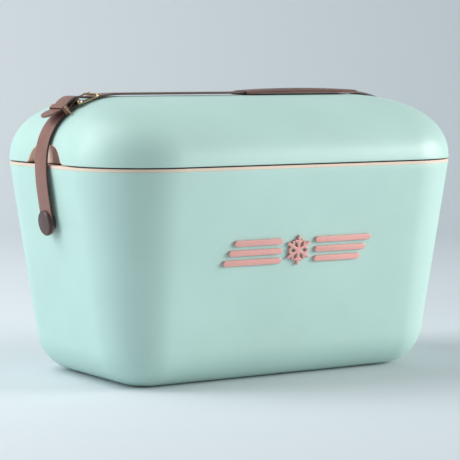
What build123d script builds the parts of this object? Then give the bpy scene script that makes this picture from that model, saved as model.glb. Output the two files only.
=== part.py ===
"""Retro portable cooler box: foam-filled chest, lift-off domed lid and a buckled leather carry strap.

Millimetres, +Z up.  The origin is at the middle of the flat base; +X runs along the length and the
front with the badge faces -Y.  Names say left for -X, the end with the buckle, and right for +X.
"""
import os
from math import cos, hypot, pi, radians, sin, tan

from build123d import *

os.makedirs("parts", exist_ok=True)

# ---- driving dimensions: chest and lid -----------------------------------------------------------
LENGTH = 450.0  # outside, at the seam between chest and lid
WIDTH = 284.0
SEAM = 223.0  # height of the chest's rim
LID_RISE = 68.5  # crest of the lid above the rim
CORNER = 82.0  # plan radius of the corners at the seam
DRAFT = radians(8.65)  # the chest's walls lean in towards the base
BASE_ROUND = 45.0  # radius between the walls and the base
SHOULDER = 87.5  # length over which the lid's ends fall from the ridge to the seam
ROUNDNESS = 2.32  # exponent of the lid's superellipse arch
SHELL_WALL = 2.5
RIM_THICK = 3.0  # the liner's flange that caps the chest's wall
RIM_INSET = 0.4  # how far that flange stays back from the outer face
LINER_WALL = 2.5
LINER_INSET = 24.0  # chest wall at the rim, outside face to the liner's back
LINER_DRAFT = radians(7.0)
LINER_FLOOR = 27.0
LINER_ROUND = 24.0
LID_GAP = 1.4  # shadow gap between rim and lid
LID_WALL = 2.5
PLUG_INSET = 30.0  # the lid's plug that drops into the liner
PLUG_DEPTH = 12.0
PLUG_ROUND = 8.0
SEAL_INSET = 15.0
SEAL_WIDTH = 6.0
SEAL_THICK = 2.9

# ---- driving dimensions: finger grips in the lid's ends -------------------------------------------
GRIP_HALF = 40.0
GRIP_RISE = 20.0
GRIP_DEPTH = 11.0
CUP_WALL = 2.0

# ---- driving dimensions: strap and studs ----------------------------------------------------------
STRAP_WIDTH = 25.0
STRAP_THICK = 2.2
STUD_GAP = 4.25  # spacer between wall and strap
STUD_DROP = 58.0  # stud axis below the seam
STUD_CAP_R = 13.0
CAP_THICK = 4.2
CAP_ROUND = 2.4
SPACER_STEP = 2.0  # the spacer is this much smaller in radius than the cap
POST_R = 4.0
NUT_R = 11.0
NUT_THICK = 5.0
BOW = 28.0  # height over which the strap turns from the wall's slope to upright at the seam
CREST_GAP = 1.5
FOLD_RISE = 17.0  # fold line above the stud axis
SHOULDER_TURN = radians(25.0)  # place of the second fold line on the lid's end
FOLD_SLIT = 0.1  # space left between two strap lengths at a fold line

# ---- driving dimensions: buckle, keeper and pad ---------------------------------------------------
HEEL_X = 191.5  # the buckle's heel bar, on the left shoulder
FRONT_X = 170.5  # the buckle's front bar
BAR_R = 1.6
BAR_END_R = 2.6
BAR_END_THICK = 2.0
LOOP_R = 3.8  # strap end wrapped round the heel bar
FRAME_WIDTH = 34.6
FRAME_THICK = 3.0
PRONG_WIDTH = 2.8
KEEPER_X = 204.0
KEEPER_LENGTH = 6.0
KEEPER_WALL = 1.0
FRONT_CLEAR = 0.5
RAIL_CLEAR = 1.0
RAIL_WIDTH = 3.8
FRAME_ROUND = 0.8
RAIL_LOW = -3.0  # the side rails run lower than the bars, beside the strap
RAIL_HIGH = -1.0
NOTCH_CLEAR = 1.8
PRONG_HUB_R = 3.2
PRONG_PLAY = 0.08
PRONG_LOW = 1.7  # underside of the prong's shaft above the plane of the two bars
PRONG_THICK = 1.8
TIP_START_X = 158.0
TIP_END_X = 215.5
TIP_CLEAR = 0.25
TIP_ROUND = 12.5
TIP_END_WAY = (-0.86, -0.51)
SLOT_START = -4.0  # slot for the prong, from the heel bar's axis
SLOT_LENGTH = 24.0
SLOT_WIDTH = 5.2
KEEPER_CLEAR = 0.2
KEEPER_SLACK = 4.4
WIRE_R = 0.9
WIRE_SPREAD = 4.0
RIVET_X = 198.4
RIVET_R = 2.2
RIVET_HEAD = 0.8
PAD_START = 5.0
PAD_END = 162.0
PAD_WIDTH = 38.0
PAD_ROOF = 1.6
PAD_BACK = 1.0
PAD_CLEAR = 0.25
PAD_ROUND = 8.0
PAD_BACK_END = 148.0

# ---- driving dimensions: badge --------------------------------------------------------------------
BADGE_HEIGHT = 136.0
BADGE_STAR_R = 14.0
BADGE_TWIG = 4.5
BADGE_THICK = 3.0
BADGE_X = -3.0
BADGE_STROKE = 3.2
BADGE_BARS = 3
BADGE_BAR = 6.0  # height of one bar
BADGE_PITCH = 10.0
BADGE_LONGEST = 76.0
BADGE_STEP = 12.0
BADGE_SPACE = 6.0

RIDGE = LENGTH / 2 - SHOULDER  # half length of the lid's level ridge
CREST = SEAM + LID_RISE
SEAM_GAP = STUD_GAP / cos(DRAFT) - BOW * (tan(DRAFT) - tan(DRAFT / 2))
DOME_SPREADS = (1.0, 0.985, 0.95, 0.88, 0.78, 0.65, 0.5, 0.3, 0.1)


# ---- shapes that several pieces share -------------------------------------------------------------
def drafted_block(inset, low, high, rounding, draft=DRAFT):
    """Chest outline moved in by inset at the seam, between two heights, with a rounded bottom edge."""
    with BuildPart() as block:
        for height in (low, high):
            shrink = inset + (SEAM - height) * tan(draft)
            with BuildSketch(Plane.XY.offset(height)):
                RectangleRounded(LENGTH - 2 * shrink, WIDTH - 2 * shrink, CORNER - shrink)
        loft(ruled=True)
        fillet(block.faces().sort_by(Axis.Z)[0].edges(), rounding)
    return block.part


def dome(inset, low):
    """Lid outline moved in by inset: rounded rectangles that follow a superellipse, cut off at low."""
    with BuildPart() as arch:
        for spread in DOME_SPREADS:
            height = (LID_RISE - inset) * (1 - spread**ROUNDNESS) ** (1 / ROUNDNESS)
            with BuildSketch(Plane.XY.offset(SEAM + height)):
                RectangleRounded(
                    2 * RIDGE + 2 * (SHOULDER - inset) * spread,
                    (WIDTH - 2 * inset) * spread,
                    (CORNER - inset) * spread,
                )
        loft()
        split(bisect_by=Plane.XY.offset(low), keep=Keep.TOP)
    return arch.part


def rim_plate(inset, low, high):
    """Flat plate with the seam's outline moved in by inset."""
    with BuildPart() as plate:
        with BuildSketch(Plane.XY.offset(low)):
            RectangleRounded(LENGTH - 2 * inset, WIDTH - 2 * inset, CORNER - inset)
        extrude(amount=high - low)
    return plate.part


def on_strap(distance, lift):
    """Point (x, z) on the left strap path at this distance from the middle, raised by lift."""
    semi_x = SHOULDER + SEAM_GAP
    semi_z = LID_RISE + CREST_GAP
    across = max(distance - RIDGE, 0.0) / semi_x
    up = (1 - across**ROUNDNESS) ** (1 / ROUNDNESS)
    slope_x = across ** (ROUNDNESS - 1) / semi_x
    slope_z = up ** (ROUNDNESS - 1) / semi_z
    size = hypot(slope_x, slope_z)
    return (-distance - lift * slope_x / size, SEAM + semi_z * up + lift * slope_z / size)


def strap_distance(turn):
    """Distance from the middle of the point where the strap has come up by this turn from the seam."""
    return RIDGE + (SHOULDER + SEAM_GAP) * cos(turn) ** (2 / ROUNDNESS)


def wall_point(height, gap):
    """Point (x, z) off the left end wall, gap away from it at right angles."""
    x = -LENGTH / 2 + (SEAM - height) * tan(DRAFT)
    return (x - gap * cos(DRAFT), height - gap * sin(DRAFT))


def strap_edge(lift):
    """Points and arc ends of the left strap path from the stud up to the middle, raised by lift."""
    low = wall_point(SEAM - STUD_DROP, STUD_GAP + lift)
    bend_x = -LENGTH / 2 + BOW * tan(DRAFT) - STUD_GAP / cos(DRAFT)
    bend = (bend_x - lift * cos(DRAFT), SEAM - BOW - lift * sin(DRAFT))
    seam = (-LENGTH / 2 - SEAM_GAP - lift, SEAM)
    turns = [pi / 2 * step / 8 for step in range(1, 8)]
    curve = [seam] + [on_strap(strap_distance(turn), lift) for turn in turns]
    curve.append((-RIDGE, CREST + CREST_GAP + lift))
    return low, bend, seam, curve


def strap_cut(distance):
    """Plane across the left strap, its normal along the strap towards the middle of the lid."""
    x, z = on_strap(distance, 0.0)
    outer_x, outer_z = on_strap(distance, 1.0)
    return Plane(origin=(x, 0, z), x_dir=(0, 1, 0), z_dir=(outer_z - z, 0, x - outer_x))


# ---- the chest ------------------------------------------------------------------------------------
stud_place = wall_point(SEAM - STUD_DROP, 0.0)
stud_plane = Plane(
    origin=(stud_place[0], 0, stud_place[1]),
    x_dir=(0, -1, 0),
    z_dir=(-cos(DRAFT), 0, -sin(DRAFT)),
)


def stud_rounds(radius, start, height, edge=0.0):
    """Pair of discs on the two stud axes, from start off the wall, with an optional rounded face."""
    with BuildPart() as rounds:
        with BuildSketch(stud_plane.offset(start)):
            Circle(radius)
        extrude(amount=height)
        if edge:
            fillet(rounds.faces().sort_by(Axis.X)[0].edges(), edge)
        mirror(about=Plane.YZ)
    return rounds.part


shell_top = SEAM - RIM_THICK
post_start = -SHELL_WALL * cos(DRAFT) - NUT_THICK
post_bores = stud_rounds(POST_R, post_start, 2 * STUD_GAP - post_start)
nut_pockets = stud_rounds(NUT_R, post_start, NUT_THICK)

with BuildPart() as outer_shell:
    add(drafted_block(0.0, 0.0, shell_top, BASE_ROUND))
    add(
        drafted_block(SHELL_WALL, SHELL_WALL, shell_top, BASE_ROUND - SHELL_WALL),
        mode=Mode.SUBTRACT,
    )
    add(post_bores, mode=Mode.SUBTRACT)
outer_shell.part.label = "outer_shell"
export_step(outer_shell.part, "parts/outer_shell.step")

with BuildPart() as inner_liner:
    add(drafted_block(LINER_INSET, LINER_FLOOR, SEAM, LINER_ROUND, LINER_DRAFT))
    add(rim_plate(RIM_INSET, shell_top, SEAM))
    add(
        drafted_block(
            LINER_INSET + LINER_WALL,
            LINER_FLOOR + LINER_WALL,
            SEAM,
            LINER_ROUND - LINER_WALL,
            LINER_DRAFT,
        ),
        mode=Mode.SUBTRACT,
    )
inner_liner.part.label = "inner_liner"
export_step(inner_liner.part, "parts/inner_liner.step")

with BuildPart() as body_foam:
    add(drafted_block(SHELL_WALL, SHELL_WALL, shell_top, BASE_ROUND - SHELL_WALL))
    add(
        drafted_block(LINER_INSET, LINER_FLOOR, SEAM, LINER_ROUND, LINER_DRAFT),
        mode=Mode.SUBTRACT,
    )
    add(nut_pockets, mode=Mode.SUBTRACT)
body_foam.part.label = "body_foam"
export_step(body_foam.part, "parts/body_foam.step")

# ---- studs that hold the strap's two ends ---------------------------------------------------------
with BuildPart() as stud_nuts:
    add(nut_pockets)
    add(post_bores, mode=Mode.SUBTRACT)
stud_nuts.part.label = "stud_nuts"
export_step(stud_nuts.part, "parts/stud_nuts.step")

with BuildPart() as stud_posts:
    add(stud_rounds(POST_R, post_start, STUD_GAP + STRAP_THICK - post_start))
stud_posts.part.label = "stud_posts"
export_step(stud_posts.part, "parts/stud_posts.step")

with BuildPart() as stud_spacers:
    add(stud_rounds(STUD_CAP_R - SPACER_STEP, 0.0, STUD_GAP))
    add(post_bores, mode=Mode.SUBTRACT)
stud_spacers.part.label = "stud_spacers"
export_step(stud_spacers.part, "parts/stud_spacers.step")

with BuildPart() as stud_caps:
    add(stud_rounds(STUD_CAP_R, STUD_GAP + STRAP_THICK, CAP_THICK, CAP_ROUND))
stud_caps.part.label = "stud_caps"
export_step(stud_caps.part, "parts/stud_caps.step")

# ---- badge: a six-armed ice star between staggered bars -------------------------------------------
badge_plane = Plane(
    origin=(BADGE_X, -WIDTH / 2 + (SEAM - BADGE_HEIGHT) * tan(DRAFT), BADGE_HEIGHT),
    x_dir=(1, 0, 0),
    z_dir=(0, -cos(DRAFT), -sin(DRAFT)),
)

with BuildPart() as front_badge:
    with BuildSketch(badge_plane):
        for arm in range(6):
            with PolarLocations(0, 1, start_angle=60 * arm + 30):
                with Locations((BADGE_STAR_R / 2, 0)):
                    SlotOverall(BADGE_STAR_R + BADGE_STROKE, BADGE_STROKE)
                for turn in (-60, 60):
                    with Locations(Location((BADGE_STAR_R * 0.55, 0), turn)):
                        with Locations((BADGE_TWIG / 2, 0)):
                            SlotOverall(BADGE_TWIG + BADGE_STROKE, BADGE_STROKE * 0.8)
        for row in range(BADGE_BARS):
            for side in (-1, 1):
                bar_length = BADGE_LONGEST - (BADGE_BARS - 1) / 2 * BADGE_STEP
                bar_length += side * (1 - row) * BADGE_STEP / 2
                bar_middle = side * (BADGE_STAR_R + BADGE_SPACE + bar_length / 2)
                with Locations((bar_middle, (1 - row) * BADGE_PITCH)):
                    SlotOverall(bar_length, BADGE_BAR)
    extrude(amount=BADGE_THICK)
front_badge.part.label = "front_badge"
export_step(front_badge.part, "parts/front_badge.step")

# ---- the lid --------------------------------------------------------------------------------------
lid_low = SEAM + LID_GAP
tray_low = SEAM + SEAL_THICK
tray_top = tray_low + LID_WALL


def grip_block(grow, depth):
    """Half-moon block in both ends of the lid, its outline grown and reaching in to depth."""
    half = GRIP_HALF + grow
    rise = GRIP_RISE + grow
    with BuildPart() as block:
        with BuildSketch(Plane.YZ.offset(-LENGTH / 2 - GRIP_DEPTH)):
            with BuildLine():
                for side in (1, -1):
                    Spline(
                        (side * half, lid_low - grow),
                        (side * half * 0.83, lid_low + rise * 0.2),
                        (side * half * 0.69, lid_low + rise * 0.7),
                        (0, lid_low + rise),
                        tangents=[(-side, 0.1), (-side, 0)],
                    )
                Line((-half, lid_low - grow), (half, lid_low - grow))
            make_face()
        extrude(amount=GRIP_DEPTH + depth)
        mirror(about=Plane.YZ)
    return block.part


grip_void = grip_block(0.0, GRIP_DEPTH)
grip_room = grip_block(CUP_WALL, GRIP_DEPTH + CUP_WALL)

with BuildPart() as lid_outer:
    add(dome(0.0, lid_low))
    add(dome(LID_WALL, SEAM), mode=Mode.SUBTRACT)
    add(grip_room, mode=Mode.SUBTRACT)
lid_outer.part.label = "lid_outer"
export_step(lid_outer.part, "parts/lid_outer.step")

with BuildPart() as tray_blank:
    add(dome(LID_WALL, tray_low))
    split(bisect_by=Plane.XY.offset(tray_top), keep=Keep.BOTTOM)

plug_low = SEAM - PLUG_DEPTH
with BuildPart() as lid_inner:
    add(tray_blank.part)
    add(drafted_block(PLUG_INSET, plug_low, tray_top, PLUG_ROUND, LINER_DRAFT))
    add(
        drafted_block(
            PLUG_INSET + LINER_WALL,
            plug_low + LINER_WALL,
            tray_top,
            PLUG_ROUND - LINER_WALL,
            LINER_DRAFT,
        ),
        mode=Mode.SUBTRACT,
    )
    add(grip_room, mode=Mode.SUBTRACT)
lid_inner.part.label = "lid_inner"
export_step(lid_inner.part, "parts/lid_inner.step")

with BuildPart() as lid_foam:
    add(dome(LID_WALL, tray_top))
    add(
        drafted_block(
            PLUG_INSET + LINER_WALL,
            plug_low + LINER_WALL,
            tray_top,
            PLUG_ROUND - LINER_WALL,
            LINER_DRAFT,
        )
    )
    add(grip_room, mode=Mode.SUBTRACT)
lid_foam.part.label = "lid_foam"
export_step(lid_foam.part, "parts/lid_foam.step")

with BuildPart() as lid_seal:
    add(rim_plate(SEAL_INSET, SEAM, tray_low))
    add(rim_plate(SEAL_INSET + SEAL_WIDTH, SEAM, tray_low), mode=Mode.SUBTRACT)
lid_seal.part.label = "lid_seal"
export_step(lid_seal.part, "parts/lid_seal.step")

with BuildPart() as grip_cups:
    add(grip_room)
    add(grip_void, mode=Mode.SUBTRACT)
    add(dome(0.0, lid_low), mode=Mode.INTERSECT)
for side, keep in (("left", Keep.BOTTOM), ("right", Keep.TOP)):
    with BuildPart() as grip_cup:
        add(grip_cups.part)
        split(bisect_by=Plane.YZ, keep=keep)
    grip_cup.part.label = f"grip_cup_{side}"
    export_step(grip_cup.part, f"parts/grip_cup_{side}.step")

# ---- the strap ------------------------------------------------------------------------------------
low_in, bend_in, seam_in, curve_in = strap_edge(0.0)
low_out, bend_out, seam_out, curve_out = strap_edge(STRAP_THICK)
wall_way = (-sin(DRAFT), cos(DRAFT))

with BuildPart() as half_strap:
    with BuildSketch(Plane.XZ):
        with BuildLine():
            Line(low_in, bend_in)
            TangentArc(bend_in, seam_in, tangent=wall_way)
            Spline(*curve_in, tangents=[(0, 1), (1, 0)])
            Line(curve_in[-1], (0, curve_in[-1][1]))
            Line((0, curve_in[-1][1]), (0, curve_out[-1][1]))
            Line((0, curve_out[-1][1]), curve_out[-1])
            Spline(*reversed(curve_out), tangents=[(-1, 0), (0, -1)])
            TangentArc(bend_out, seam_out, tangent=wall_way)
            Line(bend_out, low_out)
            Line(low_out, low_in)
        make_face()
    extrude(amount=STRAP_WIDTH / 2, both=True)

fold_plane = Plane(
    origin=(stud_place[0], 0, stud_place[1]),
    x_dir=(0, 1, 0),
    z_dir=(-sin(DRAFT), 0, cos(DRAFT)),
).offset(FOLD_RISE)
shoulder_plane = strap_cut(strap_distance(SHOULDER_TURN))
heel_plane = strap_cut(HEEL_X)
front_plane = strap_cut(TIP_START_X)


def strap_between(low_cut, high_cut):
    """Length of the left half of the strap between two cuts, with a slit's half left at each."""
    with BuildPart() as length:
        add(half_strap.part)
        split(bisect_by=low_cut.offset(FOLD_SLIT / 2), keep=Keep.TOP)
        if high_cut:
            split(bisect_by=high_cut.offset(-FOLD_SLIT / 2), keep=Keep.BOTTOM)
    return length.part


with BuildPart() as strap_left_anchor:
    with BuildSketch(stud_plane.offset(STUD_GAP)):
        Circle(STRAP_WIDTH / 2)
        with Locations((0, (FOLD_RISE - FOLD_SLIT / 2) / 2)):
            Rectangle(STRAP_WIDTH, FOLD_RISE - FOLD_SLIT / 2)
        Circle(POST_R, mode=Mode.SUBTRACT)
    extrude(amount=STRAP_THICK)
strap_left_anchor.part.label = "strap_left_anchor"
export_step(strap_left_anchor.part, "parts/strap_left_anchor.step")

with BuildPart() as strap_right_anchor:
    add(mirror(strap_left_anchor.part, about=Plane.YZ, mode=Mode.PRIVATE))
strap_right_anchor.part.label = "strap_right_anchor"
export_step(strap_right_anchor.part, "parts/strap_right_anchor.step")

with BuildPart() as strap_left_lower:
    add(strap_between(fold_plane, shoulder_plane))
strap_left_lower.part.label = "strap_left_lower"
export_step(strap_left_lower.part, "parts/strap_left_lower.step")

with BuildPart() as strap_right_lower:
    add(mirror(strap_left_lower.part, about=Plane.YZ, mode=Mode.PRIVATE))
strap_right_lower.part.label = "strap_right_lower"
export_step(strap_right_lower.part, "parts/strap_right_lower.step")

with BuildPart() as strap_right_top:
    add(mirror(strap_between(shoulder_plane, None), about=Plane.YZ, mode=Mode.PRIVATE))
    add(strap_between(front_plane, None))
strap_right_top.part.label = "strap_right_top"
export_step(strap_right_top.part, "parts/strap_right_top.step")

# ---- the buckle -----------------------------------------------------------------------------------
heel_x, heel_z = on_strap(HEEL_X, LOOP_R)
front_x, front_z = on_strap(FRONT_X, STRAP_THICK + FRONT_CLEAR + FRAME_THICK / 2)
bar_space = hypot(front_x - heel_x, front_z - heel_z)
frame_plane = Plane(
    origin=(heel_x, 0, heel_z),
    x_dir=(front_x - heel_x, 0, front_z - heel_z),
    z_dir=(heel_z - front_z, 0, front_x - heel_x),
)
cross_plane = Plane(origin=(heel_x, 0, heel_z), x_dir=frame_plane.x_dir, z_dir=(0, -1, 0))

with BuildPart() as buckle_frame:
    with BuildSketch(frame_plane.offset(RAIL_LOW)):
        for side in (-1, 1):
            with Locations((bar_space / 2, side * (FRAME_WIDTH - RAIL_WIDTH) / 2)):
                RectangleRounded(bar_space + 2 * BAR_R, RAIL_WIDTH, BAR_R)
    extrude(amount=RAIL_HIGH - RAIL_LOW)
    with BuildSketch(frame_plane.offset(-FRAME_THICK / 2)):
        with Locations((bar_space, 0)):
            Rectangle(2 * BAR_R, FRAME_WIDTH - RAIL_WIDTH)
    extrude(amount=FRAME_THICK)
    fillet(buckle_frame.edges().filter_by(GeomType.LINE).group_by(SortBy.LENGTH)[-1], FRAME_ROUND)
    with BuildSketch(cross_plane):
        Circle(BAR_R)
    extrude(amount=FRAME_WIDTH / 2, both=True)
    for side in (-1, 1):
        with BuildSketch(cross_plane.offset(side * (FRAME_WIDTH + BAR_END_THICK) / 2)):
            Circle(BAR_END_R)
        extrude(amount=BAR_END_THICK / 2, both=True)
buckle_frame.part.label = "buckle_frame"
export_step(buckle_frame.part, "parts/buckle_frame.step")

rivet_spot = on_strap(RIVET_X, -RIVET_HEAD)
rivet_plane = Plane(
    origin=(rivet_spot[0], 0, rivet_spot[1]),
    z_dir=strap_cut(RIVET_X).y_dir,
)
with BuildPart() as fold_rivet:
    with BuildSketch(rivet_plane):
        Circle(RIVET_R)
    extrude(amount=RIVET_HEAD)
    with BuildSketch(rivet_plane):
        Circle(RIVET_R / 2)
    extrude(amount=RIVET_HEAD + STRAP_THICK)
    with BuildSketch(rivet_plane.offset(RIVET_HEAD + STRAP_THICK)):
        Circle(RIVET_R)
    extrude(amount=RIVET_HEAD)
fold_rivet.part.label = "fold_rivet"
export_step(fold_rivet.part, "parts/fold_rivet.step")

with BuildPart() as strap_left_upper:
    add(strap_between(shoulder_plane, heel_plane))
    with BuildSketch(cross_plane):
        Circle(LOOP_R)
    extrude(amount=STRAP_WIDTH / 2, both=True)
    with BuildSketch(cross_plane):
        Circle(BAR_R)
    extrude(amount=STRAP_WIDTH, both=True, mode=Mode.SUBTRACT)
    with BuildSketch(cross_plane):
        with Locations((LOOP_R / 2 - BAR_R / 2, LOOP_R / 2)):
            Rectangle(3 * LOOP_R, 3 * LOOP_R)
    extrude(amount=PRONG_WIDTH / 2 + NOTCH_CLEAR, both=True, mode=Mode.SUBTRACT)
    add(fold_rivet.part, mode=Mode.SUBTRACT)
strap_left_upper.part.label = "strap_left_upper"
export_step(strap_left_upper.part, "parts/strap_left_upper.step")

with BuildPart() as buckle_prong:
    with BuildSketch(cross_plane):
        Circle(PRONG_HUB_R)
        with Locations((bar_space / 2 + BAR_R, PRONG_LOW + PRONG_THICK / 2)):
            Rectangle(bar_space + 2 * BAR_R, PRONG_THICK)
        Circle(BAR_R + PRONG_PLAY, mode=Mode.SUBTRACT)
    extrude(amount=PRONG_WIDTH / 2, both=True)
buckle_prong.part.label = "buckle_prong"
export_step(buckle_prong.part, "parts/buckle_prong.step")

# ---- the strap's loose end, through the buckle and the keeper -------------------------------------
half_thick = STRAP_THICK / 2
tip_start = on_strap(TIP_START_X, half_thick)
tip_route = [
    (FRONT_X, 0.0),
    (FRONT_X + 4.0, 0.5),
    (FRONT_X + 13.0, 4.2),
    (HEEL_X, 2 * LOOP_R + TIP_CLEAR),
    (HEEL_X + 7.0, 7.3),
    (KEEPER_X, 5.6),
    (KEEPER_X + 5.0, 6.9),
    (TIP_END_X, 12.5),
]
tip_points = [on_strap(distance, lift + half_thick) for distance, lift in tip_route]
tip_way = (-front_plane.z_dir.X, -front_plane.z_dir.Z)
tip_end_plane = Plane(
    origin=(tip_points[-1][0], 0, tip_points[-1][1]),
    x_dir=(TIP_END_WAY[0], 0, TIP_END_WAY[1]),
    z_dir=(TIP_END_WAY[1], 0, -TIP_END_WAY[0]),
)

with BuildPart() as strap_tip:
    with BuildSketch(Plane.XZ):
        with BuildLine():
            Spline(tip_start, *tip_points, tangents=[tip_way, TIP_END_WAY])
        trace(line_width=STRAP_THICK)
    extrude(amount=STRAP_WIDTH / 2, both=True)
    with BuildSketch(tip_end_plane.offset(-TIP_ROUND / 2)):
        with Locations((-TIP_ROUND / 2, 0)):
            Rectangle(TIP_ROUND, STRAP_WIDTH)
        with Locations((-TIP_ROUND, 0)):
            Circle(TIP_ROUND, mode=Mode.SUBTRACT)
    extrude(amount=TIP_ROUND, mode=Mode.SUBTRACT)
    with BuildSketch(frame_plane.offset(-3 * LOOP_R)):
        with Locations((SLOT_START + SLOT_LENGTH / 2, 0)):
            SlotOverall(SLOT_LENGTH, SLOT_WIDTH)
    extrude(amount=6 * LOOP_R, mode=Mode.SUBTRACT)
strap_tip.part.label = "strap_tip"
export_step(strap_tip.part, "parts/strap_tip.step")

# ---- keeper loop with its brass side wires --------------------------------------------------------
keeper_plane = strap_cut(KEEPER_X)
keeper_room = 2 * STRAP_THICK + KEEPER_CLEAR + KEEPER_SLACK
with BuildPart() as keeper_loop:
    with BuildSketch(keeper_plane.offset(-KEEPER_LENGTH / 2)):
        with Locations((0, keeper_room / 2 - KEEPER_CLEAR)):
            RectangleRounded(
                STRAP_WIDTH + 2 * RAIL_CLEAR + 2 * KEEPER_WALL, keeper_room + 2 * KEEPER_WALL, 1.5
            )
            Rectangle(STRAP_WIDTH + RAIL_CLEAR, keeper_room, mode=Mode.SUBTRACT)
    extrude(amount=KEEPER_LENGTH)
keeper_loop.part.label = "keeper_loop"
export_step(keeper_loop.part, "parts/keeper_loop.step")

wire_top = (STRAP_WIDTH / 2 + RAIL_CLEAR + KEEPER_WALL + 1.3 * WIRE_R, keeper_room - WIRE_R)
wire_foot = (wire_top[0] + WIRE_SPREAD, -KEEPER_CLEAR)
with BuildPart() as keeper_wires:
    with BuildLine(keeper_plane):
        wire = Line(wire_top, wire_foot)
    with BuildSketch(Plane(origin=wire @ 0, z_dir=wire % 0)):
        Circle(WIRE_R)
    sweep()
    with Locations(wire @ 0, wire @ 1):
        Sphere(WIRE_R * 1.2)
    mirror(about=Plane.XZ)
keeper_wires.part.label = "keeper_wires"
export_step(keeper_wires.part, "parts/keeper_wires.step")

# ---- shoulder pad: a sleeve of two leather layers round the strap's top ---------------------------
pad_low = CREST + PAD_CLEAR
pad_seam = pad_low + PAD_BACK
strap_top = CREST + CREST_GAP + STRAP_THICK
pad_middle = (PAD_START + PAD_END) / 2

with BuildPart() as pad_cover:
    with BuildSketch(Plane.XY.offset(pad_seam)):
        with Locations((pad_middle, 0)):
            RectangleRounded(PAD_END - PAD_START, PAD_WIDTH, PAD_ROUND)
    extrude(amount=strap_top + PAD_CLEAR + PAD_ROOF - pad_seam)
    fillet(pad_cover.faces().sort_by(Axis.Z)[-1].edges(), PAD_ROOF)
    with BuildSketch(Plane.XY.offset(pad_seam)):
        with Locations((pad_middle, 0)):
            Rectangle(PAD_END, STRAP_WIDTH + 2 * PAD_CLEAR)
    extrude(amount=strap_top + PAD_CLEAR - pad_seam, mode=Mode.SUBTRACT)
pad_cover.part.label = "pad_cover"
export_step(pad_cover.part, "parts/pad_cover.step")

back_middle = (PAD_START + PAD_BACK_END) / 2
with BuildPart() as pad_back:
    with BuildSketch(Plane.XY.offset(pad_low)):
        with Locations((back_middle, 0)):
            RectangleRounded(PAD_BACK_END - PAD_START - 2 * PAD_ROUND, PAD_WIDTH, PAD_ROUND / 2)
    extrude(amount=PAD_BACK)
pad_back.part.label = "pad_back"
export_step(pad_back.part, "parts/pad_back.step")
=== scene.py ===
# %% [markdown]
# # A portable cooler box with a buckled leather strap
# The lesson builds the looks of a mint-green picnic cooler around a frame of exact solids.  The
# frame holds every size and every moving body, so each cell adds one piece where the frame says.
# All lengths are in metres: +X runs along the box, -Y is the front and +Z is up.

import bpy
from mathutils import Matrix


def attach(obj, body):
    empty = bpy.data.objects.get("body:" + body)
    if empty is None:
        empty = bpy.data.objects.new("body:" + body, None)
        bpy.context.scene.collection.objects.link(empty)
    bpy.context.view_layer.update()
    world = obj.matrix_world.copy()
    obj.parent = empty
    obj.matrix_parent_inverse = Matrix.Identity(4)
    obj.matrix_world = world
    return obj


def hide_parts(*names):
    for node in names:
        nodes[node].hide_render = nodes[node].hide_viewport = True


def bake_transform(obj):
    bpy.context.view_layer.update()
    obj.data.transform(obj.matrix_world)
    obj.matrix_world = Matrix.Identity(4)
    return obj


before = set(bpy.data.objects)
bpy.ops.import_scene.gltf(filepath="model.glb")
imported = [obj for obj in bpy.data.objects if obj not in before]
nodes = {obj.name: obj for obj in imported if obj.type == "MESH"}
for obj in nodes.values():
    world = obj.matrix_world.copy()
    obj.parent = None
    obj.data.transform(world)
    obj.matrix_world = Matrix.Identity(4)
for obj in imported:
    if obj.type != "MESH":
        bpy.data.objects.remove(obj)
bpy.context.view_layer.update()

# %% modules and short names
from math import cos, hypot, pi, radians, sin, sqrt, tan

import bmesh
import bpy
from mathutils import Vector

collection = bpy.context.scene.collection

# %% [markdown]
# ## Sizes that several pieces share
# A maker writes the driving sizes down once.  The chest is a rounded rectangle that leans in
# towards its base, and the lid is the same rectangle shrinking along a superellipse, so a handful
# of numbers describes both.

# %% sizes
LENGTH = 0.450
WIDTH = 0.284
SEAM = 0.223
LID_RISE = 0.0685
CORNER = 0.082
DRAFT = radians(8.65)
BASE_ROUND = 0.045
SHOULDER = 0.0875
ROUNDNESS = 2.32
RIM_THICK = 0.003
LID_GAP = 0.0014
WALL = 0.0025
STRAP_WIDTH = 0.025
STRAP_THICK = 0.0022
STUD_GAP = 0.00425
STUD_DROP = 0.058
BOW = 0.028
CREST_GAP = 0.0015
HEEL_X = 0.1915
FRONT_X = 0.1705
LOOP_R = 0.0038
BAR_R = 0.0016
KEEPER_X = 0.204
RIDGE = LENGTH / 2 - SHOULDER
CREST = SEAM + LID_RISE
SEAM_GAP = STUD_GAP / cos(DRAFT) - BOW * (tan(DRAFT) - tan(DRAFT / 2))
LID_LOW = SEAM + LID_GAP
print("ridge", RIDGE, "crest", CREST)

# %% [markdown]
# ## Node trees as expressions
# Materials and Geometry Nodes are both node trees, and both have the same Math node.  One small
# class wraps a socket so that `1 - mask * 0.4` adds the Math nodes by itself, and one method adds
# any other node from its type, its settings and its inputs.

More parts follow.
